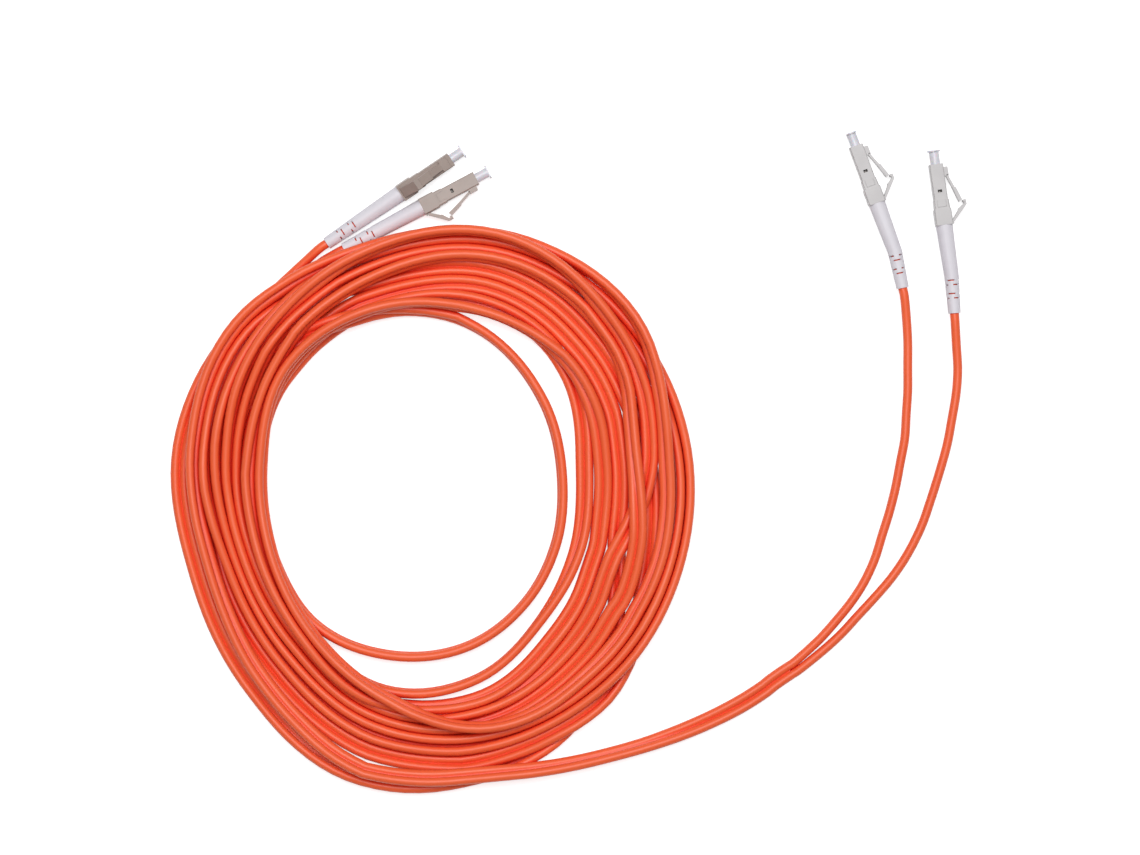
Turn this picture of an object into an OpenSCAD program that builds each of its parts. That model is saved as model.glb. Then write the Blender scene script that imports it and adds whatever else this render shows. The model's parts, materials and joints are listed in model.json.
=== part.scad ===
// Duplex fibre optic patch cord, coiled, with four small-form-factor connectors.
// Each connector is drawn along its own X axis: the rear face of its collar is at x = 0,
// its front is toward +X and its latch is toward +Y. It is then rolled, turned and set down.

/* [Jacket] */
// Outer diameter of one leg, and of each half of the duplex cord
jacket_d = 3; // [2.8:0.05:3.1]
// Wall of the jacket
jacket_wall = 0.5; // [0.3:0.05:0.6]
// Outer diameter of the buffer tube round the fibre
buffer_d = 0.9; // [0.8:0.05:0.95]
// Diameter of the coated glass fibre
coated_fiber_d = 0.25; // [0.2:0.01:0.3]
// Diameter of the bare glass fibre
bare_fiber_d = 0.125; // [0.1:0.005:0.14]

/* [Coil] */
// Half of the coil's width, to the middle of the outermost turn
coil_half_width = 83.5; // [80:0.5:90]
// Half of the coil's height on the table, to the middle of the outermost turn
coil_half_height = 88.5; // [84:0.5:94]
// Step from one turn to the next across the width
pitch_x = 6.6; // [6.5:0.1:7.2]
// Step from one turn to the next across the height
pitch_y = 6.45; // [6.45:0.05:7]
// Steps of 15 degrees in the whole coil
coil_steps = 249; // [225:24:273]
// Free height between the two layers of the coil
layer_gap = 0.45; // [0.42:0.01:0.8]

/* [Connector body] */
// Length of the body from the collar to the front face
body_len = 20.2; // [19.8:0.1:21]
// Width and height of the front housing
body_w = 4.5; // [4.4:0.05:4.6]
// Width and height of the collar
collar_w = 5.6; // [5.4:0.05:6]
// Length of the collar
collar_len = 5.3; // [5:0.1:5.5]
// Width and height of the neck between collar and front housing
neck_w = 4.9; // [4.75:0.05:5.2]
// Length of the neck
neck_len = 3; // [2.8:0.1:3.2]
// Bevel on the long edges
edge_bevel = 0.25; // [0.1:0.05:0.4]
// Diameter of the cavity round the ferrule
cavity_d = 3.4; // [3.3:0.05:3.5]
// Depth of the cavity
cavity_depth = 3.4; // [3.2:0.1:3.6]
// Thickness of the wall that stops the ferrule flange
stop_wall = 1; // [0.8:0.1:1.2]
// Width and height of the tongue inside the rear body
tongue_w = 3.9; // [3.7:0.05:4]
// Thickness of the rear body's end wall
end_wall = 2.4; // [2:0.1:2.6]
// Width of a snap tab
tab_w = 2.8; // [2:0.1:3]
// Distance from the collar's front face to a snap window
snap_step = 0.6; // [0.5:0.1:1]
// Distance from the collar to the small side window
window_x = 10.8; // [10.5:0.1:12]
// Length of the small side window
window_len = 0.9; // [0.6:0.1:1.1]
// Width of the small side window
window_w = 1.4; // [1:0.1:1.8]

/* [Latch and trigger] */
// Distance from the collar to the latch hinge
latch_x = 15.9; // [15.7:0.1:16.2]
// Height of the latch hinge over the plug axis
latch_y = 3.2; // [3.1:0.05:3.3]
// Width of the latch lever
latch_w = 3; // [2.6:0.1:3.2]
// Width of the latch lever where it is thin
latch_neck_w = 2.2; // [1.8:0.1:2.6]
// Length of the latch's root block
latch_root_len = 3.1; // [2.8:0.1:3.4]
// Height of the latch's root block over the plug axis
latch_root_top = 3.65; // [3.6:0.05:3.8]
// Distance from the collar to the latch's free end
latch_tip_x = 7.2; // [7:0.1:7.6]
// Height of the latch's free end over the plug axis
latch_tip_y = 6.4; // [6.2:0.1:6.6]
// Length of the latch where it is thin
latch_thin_len = 4; // [3.6:0.1:4.4]
// How far a lever's socket block is wider than the lever
socket_margin = 0.8; // [0.6:0.1:1]
// Distance from the collar to the trigger hinge
trigger_x = 1; // [0.9:0.05:1.1]
// Height of the trigger hinge over the plug axis
trigger_y = 3.15; // [3.1:0.05:3.2]
// Width of the trigger lever
trigger_w = 3.4; // [3:0.1:3.6]
// Length of the trigger's hook
hook_len = 1.3; // [1.1:0.1:1.4]
// Thickness of the trigger's hook
hook_t = 0.65; // [0.5:0.05:0.8]
// Free height between the latch's free end and the hook over it
hook_play = 0.55; // [0.5:0.05:0.8]
// Radius of the rounded root of each lever
knuckle_r = 0.42; // [0.4:0.01:0.45]

/* [Ferrule] */
// Diameter of the ferrule
ferrule_d = 1.249; // [1.24:0.001:1.26]
// Length of the ferrule
ferrule_len = 6.5; // [6.3:0.1:6.8]
// How far the ferrule stands out of the front face
ferrule_out = 1.9; // [1.7:0.1:2]
// How far the ferrule can be pressed back
ferrule_travel = 2; // [1.6:0.1:2]
// Diameter of the holder's nose
nose_d = 1.9; // [1.8:0.05:2]
// Length of the holder's nose
nose_len = 1.5; // [1.4:0.1:1.6]
// Diameter of the holder's flange
flange_d = 2.7; // [2.6:0.05:2.75]
// Thickness of the holder's flange
flange_t = 1.5; // [1.3:0.1:1.7]
// Diameter of the holder's tail
tail_d = 1.5; // [1.45:0.05:1.55]
// Length of the holder's tail
tail_len = 4.2; // [3.9:0.1:4.4]
// Outer diameter of the ferrule's spring
spring_d = 2.5; // [2.4:0.02:2.6]
// Wire diameter of the ferrule spring
spring_wire = 0.3; // [0.28:0.01:0.32]
// Curls of the ferrule spring
spring_curls = 6; // [4:1:7]

/* [Crimp] */
// Diameter of the spring chamber that the crimp body is pressed into
chamber_d = 2.9; // [2.85:0.05:3]
// Distance from the collar to the crimp body's front end
crimp_front = 9.2; // [9:0.1:9.4]
// Diameter of the crimp body's shoulder
shoulder_d = 3.7; // [3.6:0.05:3.8]
// Length of the crimp body's shoulder
shoulder_len = 0.9; // [0.8:0.1:1]
// Diameter of the shaft in the end wall
shaft_d = 3; // [2.9:0.05:3.1]
// Diameter of the knurled barrel
barrel_d = 2.6; // [2.5:0.05:2.7]
// Length of the barrel behind the collar
barrel_len = 5.2; // [4.8:0.1:5.6]
// Distance from the collar to the sleeve behind it
sleeve_step = 0.4; // [0.3:0.1:0.6]
// Distance from the barrel's end to the cut end of the jacket
jacket_step = 0.4; // [0.3:0.1:0.6]
// Bore through the crimp body
crimp_bore_d = 1.7; // [1.65:0.05:1.75]
// Grooves round the barrel
barrel_grooves = 4; // [2:1:5]
// Length of the crimp sleeve
sleeve_len = 8.2; // [7.8:0.1:8.8]
// Wall of the crimp sleeve
sleeve_wall = 0.3; // [0.25:0.05:0.35]

/* [Boot] */
// Length of the boot
boot_len = 29.3; // [28:0.1:31]
// Diameter of the boot at the collar
boot_front_d = 5.6; // [5.4:0.05:5.7]
// Diameter of the boot at its end
boot_end_d = 4.1; // [4:0.05:4.4]
// Diameter of the boot where it bends
boot_mid_d = 4.8; // [4.7:0.05:5]
// Length of the boot in front of its bend
boot_straight = 17.2; // [16:0.1:18]
// Width of a slot in the boot
slot_w = 0.45; // [0.3:0.05:0.6]
// Half of the angle that a slot takes
slot_half_angle = 38; // [30:1:42]
// Distance from the boot's end to the first row of slots
slot_first = 5; // [4.5:0.1:6]
// Distance between the two rows of a pair
slot_pair_step = 1.5; // [1.3:0.1:1.8]
// Distance from one pair of rows to the next
slot_pair_pitch = 4.4; // [4:0.1:4.8]

/* [Dust cap] */
// Diameter of the dust cap's barrel
cap_d = 3.2; // [3:0.05:3.25]
// How far the dust cap stands out of the front face
cap_out = 4.7; // [4.4:0.1:5]
// Diameter of the dust cap's flange
cap_flange_d = 4.8; // [4.4:0.1:5.2]
// Thickness of the dust cap's flange
cap_flange_t = 0.5; // [0.4:0.05:0.7]
// Thickness of the dust cap's closed end
cap_end_t = 1; // [0.8:0.1:1.3]

/* [Clearances] */
// Radial clearance between fixed pieces
fixed_gap = 0.05; // [0.03:0.01:0.08]
// Radial clearance of the ferrule in the dust cap
cap_fit = 0.025; // [0.01:0.005:0.05]
// Radial clearance of a lever's root in its socket
hinge_gap = 0.06; // [0.05:0.01:0.1]
// Radial clearance of the jacket in the boot
boot_gap = 0.15; // [0.1:0.05:0.25]

/* [Hidden] */
// The cord's first end carries connectors 1a and 1b, its second end 2a and 2b
ENDS = ["1a", "1b", "2a", "2b"];
PIECES = [
    "dust_cap", "ferrule", "ferrule_holder", "ferrule_spring", "glass_fiber", "front_housing",
    "latch_lever", "rear_body", "trigger_lever", "crimp_body", "crimp_sleeve", "boot",
    "jacket_end", "cord_leg"
];

$fn = 48;

// The four connectors: where the middle of the collar's rear face lies on the table, which way
// the front points, how far it is rolled (180 lays the latch flat, 90 turns it up), how far its
// boot bends, and how its boot and its dust cap are turned about their axis.
PLACE = [[-81.1, 8.9], [-73.9, 4.4], [76.2, 5.7], [98.4, -1.5]];
YAW = [34.2, 28.2, 110.4, 98.2];
ROLL = [100, 180, 180, 180];
BOOT_BEND = [0, 0, 8.5, 3.8];
SLOT_TURN = [50, 105, 30, 70];
CAP_TURN = [80, 0, 90, 65];

// Sides of the tubes that follow a bent boot
BENT_SIDES = 24;

half_collar = collar_w / 2;
bevel_drop = edge_bevel * abs(cos(ROLL[0]));
// The axis of the tilted connector is as high as its lowest bevelled edge asks
tilted_height = half_collar * (abs(sin(ROLL[0])) + abs(cos(ROLL[0]))) - bevel_drop;
HEIGHT = [tilted_height, half_collar, half_collar, half_collar];

// Stations along the connector
joint_x = collar_len + neck_len;
snap_x = collar_len + snap_step;
cavity_x = body_len - cavity_depth;
stop_x = cavity_x - stop_wall;
tongue_x = end_wall + shoulder_len + 2 * fixed_gap;
flange_x = stop_x - fixed_gap;
holder_x = flange_x - flange_t - tail_len;
ferrule_tip = body_len + ferrule_out;
ferrule_x = ferrule_tip - ferrule_len;
nose_x = flange_x + nose_len;
cap_tip = body_len + cap_out;
cap_x = nose_x + 4 * fixed_gap;
tail_bore_r = buffer_d / 2 + fixed_gap;
buffer_front = holder_x + tail_len / 2;
sleeve_front = -sleeve_step;
sleeve_back = sleeve_front - sleeve_len;
jacket_front = -barrel_len - jacket_step;
sleeve_r = jacket_d / 2 + 2 * fixed_gap;

// The boot's end, in the connector's own frame: the boot is straight on both sides of its bend
boot_tail = boot_len - boot_straight;
function boot_back(i) = [-cos(BOOT_BEND[i]), -sin(BOOT_BEND[i]), 0];
function boot_end(i) = [-boot_straight, 0, 0] + boot_tail * boot_back(i);

// A direction and a point of connector i, on the table
function rolled(v, a) = [v.x, v.y * cos(a) - v.z * sin(a), v.y * sin(a) + v.z * cos(a)];
function turned(v, a) = [v.x * cos(a) - v.y * sin(a), v.x * sin(a) + v.y * cos(a), v.z];
function aimed(i, v) = turned(rolled(v, ROLL[i]), YAW[i]);
function seated(i, p) = [PLACE[i].x, PLACE[i].y, HEIGHT[i]] + aimed(i, p);

// The coil: turns on an ellipse that spiral in along the table, climb and spiral out on top
COIL_MIDDLE = [-71.3, -96.7];
COIL_START = 135;
STEP = 15;
duplex_w = 2 * jacket_d;
layer_rise = jacket_d + layer_gap;
climb_steps = 12;
wind_steps = (coil_steps - climb_steps) / 2;
function climb(k) = max(0, min(1, (k - wind_steps) / climb_steps));
function turns_in(k) = k < wind_steps ? k * STEP / 360
    : k > wind_steps + climb_steps ? (coil_steps - k) * STEP / 360
    : wind_steps * STEP / 360 + 0.25 * sin(180 * climb(k));
function eased(u) = u * u * (3 - 2 * u);
function coil_point(k) = [
    COIL_MIDDLE.x + (coil_half_width - pitch_x * turns_in(k)) * cos(COIL_START + STEP * k),
    COIL_MIDDLE.y + (coil_half_height - pitch_y * turns_in(k)) * sin(COIL_START + STEP * k),
    jacket_d / 2 + layer_rise * eased(climb(k))
];
function unit(v) = v / norm(v);
function flat_unit(v) = unit([v.x, v.y, 0]);
coil_turns = [for (k = [0:coil_steps]) coil_point(k)];
function coil_way(k) = flat_unit(coil_point(k + 0.5) - coil_point(k - 0.5));
start_way = -coil_way(0);
end_way = coil_way(coil_steps);
coil_start_face = coil_turns[0] + duplex_w * start_way;
coil_end_face = coil_turns[coil_steps] + duplex_w * end_way;
coil_route = concat([coil_start_face], coil_turns, [coil_end_face]);

// Free routes, in millimetres on the table
LEG_1A = [[-112, -13, 2.2], [-117.5, -18, 1.5]];
LEG_1B = [[-107, -13.5, 1.9], [-112, -17.5, 1.5], [-118, -23.5, 1.5]];
LEG_2A = [
    [86, -32, 2.1], [86.5, -40, 1.6], [86.5, -48, 1.5], [86.5, -56, 1.5], [86, -64, 1.5],
    [85.5, -72, 1.5], [84, -80, 1.5], [82.5, -88, 1.5], [80.5, -96, 1.5], [78, -104, 1.5],
    [75, -112, 1.5], [72, -119.5, 1.5], [68.5, -126, 1.5], [62.5, -132, 1.5], [57, -139, 1.5]
];
LEG_2B = [
    [102.5, -41, 2.1], [103, -49, 1.6], [102.5, -57, 1.5], [101, -66, 1.5], [99.5, -74, 1.5],
    [97, -83, 1.5], [94, -92.5, 1.5], [91, -101, 1.5], [86.5, -110, 1.5], [81.5, -117.5, 1.5],
    [76, -124, 1.5], [70, -130.5, 1.5], [64.5, -136.5, 1.5], [58.5, -142, 1.5]
];
LEAD_OUT = [
    [-48, -183.5, 4.95], [-36, -181, 4.7], [-24, -178, 4], [-12, -174.5, 3], [0, -171, 2.1],
    [12, -167.5, 1.6], [22, -164, 1.5], [31, -159, 1.5], [38.5, -154.5, 1.5]
];
SPLIT = [47.5, -148.6, 1.5];
SPLIT_ANGLE = 34;
split_way = [cos(SPLIT_ANGLE), sin(SPLIT_ANGLE), 0];

// Outlines that are swept along a route, each as its width across the route and its height
leg_outline = [for (a = [22.5:45:359]) jacket_d / 2 * [cos(a), sin(a)]];
duplex_outline = [for (p = leg_outline) p + [sign(p.x) * jacket_d / 2, 0]];
coil_outline = [
    [jacket_d, 0], [jacket_d / 2, jacket_d / 2], [-jacket_d / 2, jacket_d / 2],
    [-jacket_d, 0], [-jacket_d / 2, -jacket_d / 2], [jacket_d / 2, -jacket_d / 2]
];

// The ring of an outline at point i of a route, square to the route there
function way_at(route, i) = unit(route[min(i + 1, len(route) - 1)] - route[max(i - 1, 0)]);
function ring_at(route, i, outline) = let (
    way = way_at(route, i),
    side = unit(cross(way, [0, 0, 1])),
    up = cross(side, way)
) [for (p = outline) route[i] + side * p.x + up * p.y];

// One closed tube of triangles through a list of rings
module tube(rings) {
    n = len(rings[0]);
    end = (len(rings) - 1) * n;
    walls = [
        for (a = [0:n:end - 1], j = [0:n - 1])
            let (p = a + j, q = a + (j + 1) % n)
            each [[p, q, q + n], [p, q + n, p + n]]
    ];
    first_cap = [for (j = [1:n - 2]) [0, j + 1, j]];
    last_cap = [for (j = [1:n - 2]) [end, end + j, end + j + 1]];
    polyhedron(points = [for (ring = rings) each ring], faces = concat(walls, first_cap, last_cap));
}

// A tube with an outline's ring at each point of its route
module swept(route, outline) {
    tube([for (i = [0:len(route) - 1]) ring_at(route, i, outline)]);
}

// The least gap between turns of the coil, measured at rings that lie side by side
rings_per_turn = 360 / STEP;
ring_points = [for (i = [1:coil_steps + 1]) ring_at(coil_route, i, coil_outline)];
function with_middles(ring) = [for (j = [0:len(ring) - 1]) each
    [ring[j], (ring[j] + ring[(j + 1) % len(ring)]) / 2]];
function ring_gap(a, b) = min([for (p = a) for (q = with_middles(b)) norm(p - q)]);
coil_gap = min([
    for (i = [0:coil_steps]) for (k = [i + rings_per_turn:rings_per_turn:coil_steps])
        ring_gap(ring_points[i], ring_points[k])
]);
echo(least_gap_between_coil_turns = coil_gap);

// Sets a child of connector i down on the table
module seat(i) {
    translate([PLACE[i].x, PLACE[i].y, HEIGHT[i]])
        rotate([0, 0, YAW[i]]) rotate([ROLL[i], 0, 0]) children();
}

// A cylinder along X, from one station to another
module bar(from, to, d) {
    translate([from, 0, 0]) rotate([0, 90, 0]) cylinder(h = to - from, d = d);
}

// A square bar along X with bevelled long edges
module bevelled_bar(from, to, w, bevel) {
    h = w / 2;
    k = h - bevel;
    translate([from, 0, 0]) rotate([90, 0, 90]) linear_extrude(to - from)
        polygon([[h, -k], [h, k], [k, h], [-k, h], [-h, k], [-h, -k], [-k, -h], [k, -h]]);
}

// A flat plate of an outline in the latch's plane, centred on the plug axis
module latch_plate(outline, w) {
    translate([0, 0, -w / 2]) linear_extrude(w) polygon(outline);
}

// The frame of the boot's tail, with the bend at x = 0
module behind_bend(i) {
    translate([-boot_straight, 0, 0]) rotate([0, 0, BOOT_BEND[i]]) children();
}

// The ring of diameter d at station x of a bent boot
function ring_in_boot(i, x, d) = let (
    behind = x + boot_straight,
    angle = BOOT_BEND[i] * (behind < 0 ? 1 : behind == 0 ? 0.5 : 0),
    middle = [-boot_straight, 0, 0] - behind * (behind < 0 ? boot_back(i) : [-1, 0, 0])
) [
    for (k = [0:BENT_SIDES - 1]) let (a = 360 * k / BENT_SIDES)
        middle + d / 2 * [-cos(a) * sin(angle), cos(a) * cos(angle), sin(a)]
];

// A round rod that follows the boot through stations of [x, diameter], from front to back
module boot_rod(i, stations) {
    if (BOOT_BEND[i] == 0)
        rotate([0, 90, 0]) rotate_extrude() polygon(concat(
            [[0, stations[0].x]],
            [for (s = stations) [s.y / 2, s.x]],
            [[0, stations[len(stations) - 1].x]]
        ));
    else
        tube([for (s = stations) ring_in_boot(i, s.x, s.y)]);
}

// A boot rod of one diameter, from a station to the boot's end, and past it if asked
module bent_rod(i, from, d, past = 0) {
    boot_rod(i, [[from, d], [-boot_straight, d], [-boot_len - past, d]]);
}

module dust_cap(i) {
    flange_flat = cap_d + 2 * fixed_gap;
    color("whitesmoke") seat(i) difference() {
        union() {
            bar(cap_x, cap_tip, cap_d);
            rotate([CAP_TURN[i], 0, 0]) intersection() {
                bar(cap_tip - cap_flange_t, cap_tip, cap_flange_d);
                translate([0, -cap_flange_d, -flange_flat / 2])
                    cube([cap_tip + 1, 2 * cap_flange_d, flange_flat]);
            }
        }
        bar(cap_x - 1, cap_tip - cap_end_t, ferrule_d + 2 * cap_fit);
    }
}

module ferrule(i) {
    tip_bevel = 0.15;
    fiber_fit = 0.001;
    color("white") seat(i) difference() {
        rotate([0, 90, 0]) rotate_extrude() polygon([
            [0, ferrule_x], [ferrule_d / 2, ferrule_x], [ferrule_d / 2, ferrule_tip - tip_bevel],
            [ferrule_d / 2 - tip_bevel, ferrule_tip], [0, ferrule_tip]
        ]);
        bar(ferrule_x - 1, ferrule_tip + 1, bare_fiber_d + fiber_fit);
    }
}

module ferrule_holder(i) {
    color("silver") seat(i) difference() {
        union() {
            bar(flange_x - flange_t, flange_x, flange_d);
            bar(flange_x - flange_t / 2, nose_x, nose_d);
            bar(holder_x, flange_x - flange_t / 2, tail_d);
        }
        bar(ferrule_x, nose_x + 1, ferrule_d);
        bar(holder_x - 1, ferrule_x + 1, 2 * tail_bore_r);
    }
}

module ferrule_spring(i) {
    rings_per_curl = 8;
    end_gap = spring_wire / 2 + fixed_gap;
    from = crimp_front + end_gap;
    to = flange_x - flange_t - end_gap;
    steps = spring_curls * rings_per_curl;
    turn_r = (spring_d - spring_wire) / 2;
    rings = [
        for (k = [0:steps]) let (
            a = 360 * k / rings_per_curl,
            out = [0, cos(a), sin(a)],
            middle = [from + (to - from) * k / steps, 0, 0] + turn_r * out
        ) [for (b = [0:60:300]) middle + spring_wire / 2 * (cos(b) * out + [sin(b), 0, 0])]
    ];
    color("lightsteelblue") seat(i) tube(rings);
}

module glass_fiber(i) {
    color("lightcyan") seat(i) {
        bar(buffer_front + ferrule_travel + fixed_gap, ferrule_x, coated_fiber_d);
        bar(ferrule_x - fixed_gap, ferrule_tip, bare_fiber_d);
    }
}

// Outline of the block on the front housing that carries the latch
latch_block_foot = body_w / 2 - 2 * edge_bevel;
latch_block_end = latch_x + latch_root_len;
latch_block = [
    [latch_x, latch_block_foot], [latch_block_end, latch_block_foot],
    [latch_block_end, latch_root_top - edge_bevel], [latch_block_end - edge_bevel, latch_root_top],
    [latch_x, latch_root_top]
];

module front_housing(i) {
    tab_x = snap_x + 2 * fixed_gap;
    color("tan") seat(i) difference() {
        union() {
            bevelled_bar(joint_x, body_len, body_w, edge_bevel);
            bevelled_bar(tongue_x, joint_x + 1, tongue_w, edge_bevel);
            translate([tab_x, -tab_w / 2, -neck_w / 2])
                cube([joint_x + edge_bevel - tab_x, tab_w, neck_w]);
            latch_plate(latch_block, latch_w + socket_margin);
        }
        translate([latch_x, latch_y, -body_w])
            cylinder(h = 2 * body_w, r = knuckle_r + hinge_gap);
        bar(cavity_x, body_len + 1, cavity_d);
        bar(stop_x - 1, cavity_x + 1, nose_d + 4 * fixed_gap);
        bar(tongue_x - 1, stop_x, chamber_d);
        translate([window_x, -window_w / 2, -body_w])
            cube([window_len, window_w, 2 * body_w]);
    }
}

// Outline of the latch lever: a thin arm from its round root, then a thicker end
latch_outline = [
    [latch_x - 0.1, latch_y - 0.38], [latch_x + 0.1, latch_y + 0.38], [latch_x - 0.6, latch_y + 0.62],
    [latch_x - latch_thin_len, latch_y + 1.95], [latch_x - latch_thin_len - 0.1, latch_y + 2.25],
    [latch_tip_x + 0.25, latch_tip_y + 0.55], [latch_tip_x - 0.3, latch_tip_y - 0.53],
    [latch_x - latch_thin_len - 0.1, latch_y + 1.1]
];

module latch_lever(i) {
    color("tan") seat(i) {
        translate([latch_x, latch_y, -latch_neck_w / 2]) cylinder(h = latch_neck_w, r = knuckle_r);
        latch_plate(latch_outline, latch_neck_w);
        intersection() {
            latch_plate(latch_outline, latch_w);
            translate([0, 0, -latch_w]) cube([latch_x - latch_thin_len, 2 * latch_tip_y, 2 * latch_w]);
        }
    }
}

// Outline of the ramp on the collar that carries the trigger
ramp_foot = neck_w / 2 - 2 * edge_bevel;
trigger_ramp = [
    [0, ramp_foot], [joint_x, ramp_foot], [joint_x, neck_w / 2],
    [trigger_x + 1.5 * knuckle_r, half_collar], [trigger_x, half_collar],
    [trigger_x, trigger_y], [0, trigger_y]
];

module rear_body(i) {
    socket_w = tongue_w + 2 * fixed_gap;
    color("tan") seat(i) difference() {
        union() {
            bevelled_bar(0, collar_len, collar_w, edge_bevel);
            bevelled_bar(collar_len - 1, joint_x, neck_w, edge_bevel);
            latch_plate(trigger_ramp, trigger_w + socket_margin);
        }
        translate([trigger_x, trigger_y, -collar_w])
            cylinder(h = 2 * collar_w, r = knuckle_r + hinge_gap);
        translate([end_wall, -socket_w / 2, -socket_w / 2])
            cube([joint_x, socket_w, socket_w]);
        translate([snap_x, -tab_w / 2 - fixed_gap, -collar_w])
            cube([joint_x, tab_w + 2 * fixed_gap, 2 * collar_w]);
        bar(-1, end_wall + 1, shaft_d + 2 * fixed_gap);
    }
}

// Outline of the trigger lever: from its round root up to a hook that reaches over the latch
hook_x = latch_tip_x - 0.15;
hook_y = latch_tip_y + 0.55 + hook_play;
trigger_outline = [
    [trigger_x - 0.25, trigger_y + 0.3], [trigger_x + 0.3, trigger_y - 0.25],
    [trigger_x + 3.15, trigger_y + 2], [trigger_x + 3.75, trigger_y + 2.25],
    [hook_x - hook_len + 0.35, hook_y - 0.1], [hook_x, hook_y], [hook_x, hook_y + hook_t],
    [hook_x - hook_len, hook_y + hook_t]
];

module trigger_lever(i) {
    color("tan") seat(i) {
        translate([trigger_x, trigger_y, -trigger_w / 2]) cylinder(h = trigger_w, r = knuckle_r);
        latch_plate(trigger_outline, trigger_w);
    }
}

module crimp_body(i) {
    groove_w = 0.4;
    groove_depth = 0.12;
    groove_step = (barrel_len - 1) / barrel_grooves;
    color("silver") seat(i) difference() {
        union() {
            bar(end_wall + shoulder_len / 2, crimp_front, chamber_d - 2 * fixed_gap);
            bar(end_wall + fixed_gap, end_wall + fixed_gap + shoulder_len, shoulder_d);
            bar(sleeve_front, end_wall + shoulder_len / 2, shaft_d);
            bar(-barrel_len, 0, barrel_d);
        }
        bar(-barrel_len - 1, crimp_front + 1, crimp_bore_d);
        for (k = [0:barrel_grooves - 1])
            translate([-barrel_len + 0.5 + k * groove_step, 0, 0]) difference() {
                bar(0, groove_w, barrel_d + 1);
                bar(-1, groove_w + 1, barrel_d - 2 * groove_depth);
            }
    }
}

module crimp_sleeve(i) {
    color("goldenrod") seat(i) difference() {
        bar(sleeve_back, sleeve_front - fixed_gap, 2 * (sleeve_r + sleeve_wall));
        bar(sleeve_back - 1, sleeve_front + 1, 2 * sleeve_r);
    }
}

// Distance of slot row k from the boot's end: the rows lie in two pairs
function slot_row(k) = slot_first + k % 2 * slot_pair_step + floor(k / 2) * slot_pair_pitch;

module boot(i) {
    front_bore = 2 * (sleeve_r + sleeve_wall + fixed_gap);
    slot_reach = boot_front_d;
    color("ghostwhite") seat(i) difference() {
        boot_rod(i, [[0, boot_front_d], [-boot_straight, boot_mid_d], [-boot_len, boot_end_d]]);
        bar(sleeve_back - fixed_gap, 1, front_bore);
        bent_rod(i, sleeve_back, jacket_d + 2 * boot_gap, 1);
        behind_bend(i) for (k = [0:3], turn = [0:120:240])
            translate([slot_row(k) - boot_tail - slot_w / 2, 0, 0])
                rotate([turn + 60 * k + SLOT_TURN[i], 0, 0]) rotate([90, 0, 90])
                    linear_extrude(slot_w) polygon([
                        [0, 0],
                        slot_reach * [cos(slot_half_angle), sin(-slot_half_angle)],
                        slot_reach * [cos(slot_half_angle), sin(slot_half_angle)]
                    ]);
    }
}

module jacket_end(i) {
    color("orangered") seat(i) difference() {
        bent_rod(i, jacket_front, jacket_d);
        bent_rod(i, jacket_front + 1, jacket_d - 2 * jacket_wall, 1);
    }
}

// The stretch of leg i from its boot to where it joins its neighbour
module cord_leg(i, route, joined_at, joined_way, side) {
    across = cross(joined_way, [0, 0, 1]);
    from = seated(i, boot_end(i));
    near = from + jacket_d * aimed(i, boot_back(i));
    to = joined_at + side * jacket_d / 2 * across;
    color("orangered")
        swept(concat([from, near], route, [to + jacket_d * joined_way, to]), leg_outline);
}

module cord_coil() {
    color("orangered") swept(coil_route, coil_outline);
}

module cord_lead_out() {
    near = coil_end_face + duplex_w * end_way;
    before = SPLIT - duplex_w * split_way;
    color("orangered")
        swept(concat([coil_end_face, near], LEAD_OUT, [before, SPLIT]), duplex_outline);
}

module buffer_tubes() {
    for (i = [0:3])
        color("white") seat(i) bent_rod(i, buffer_front, buffer_d);
}

module aramid_yarns() {
    inner = buffer_d + 2 * fixed_gap;
    outer = jacket_d - 2 * jacket_wall - 2 * fixed_gap;
    folded_inner = barrel_d + 2 * fixed_gap;
    folded_outer = 2 * sleeve_r - 2 * fixed_gap;
    fold_x = -barrel_len - fixed_gap;
    fold_end = -1;
    for (i = [0:3])
        color("khaki") seat(i) difference() {
            union() {
                bent_rod(i, fold_x, outer);
                bar(jacket_front + fixed_gap, fold_end, folded_outer);
            }
            bent_rod(i, fold_x + 1, inner, 1);
            bar(fold_x, fold_end + 1, folded_inner);
        }
}

for (i = [0:3]) {
    dust_cap(i);
    ferrule(i);
    ferrule_holder(i);
    ferrule_spring(i);
    glass_fiber(i);
    front_housing(i);
    latch_lever(i);
    rear_body(i);
    trigger_lever(i);
    crimp_body(i);
    crimp_sleeve(i);
    boot(i);
    jacket_end(i);
}
cord_leg(0, LEG_1A, coil_start_face, start_way, -1);  // cord_leg_1a
cord_leg(1, LEG_1B, coil_start_face, start_way, 1);  // cord_leg_1b
cord_leg(2, LEG_2A, SPLIT, split_way, -1);  // cord_leg_2a
cord_leg(3, LEG_2B, SPLIT, split_way, 1);  // cord_leg_2b
cord_coil();
cord_lead_out();
buffer_tubes();
aramid_yarns();
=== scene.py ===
# %% [markdown]
# # A duplex fiber patch cord, laid in a loose coil
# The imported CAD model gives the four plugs, their boots and the simple solids of the cord, all in
# metres in one shared frame. This script keeps the plugs where they are and gives them finishes,
# and it makes the cord again. The turns of a flat two-strand cord that was wound by hand lie across
# and on one another, which is easier to let settle than to draw.

import json
from math import cos, pi, radians, sin

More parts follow.
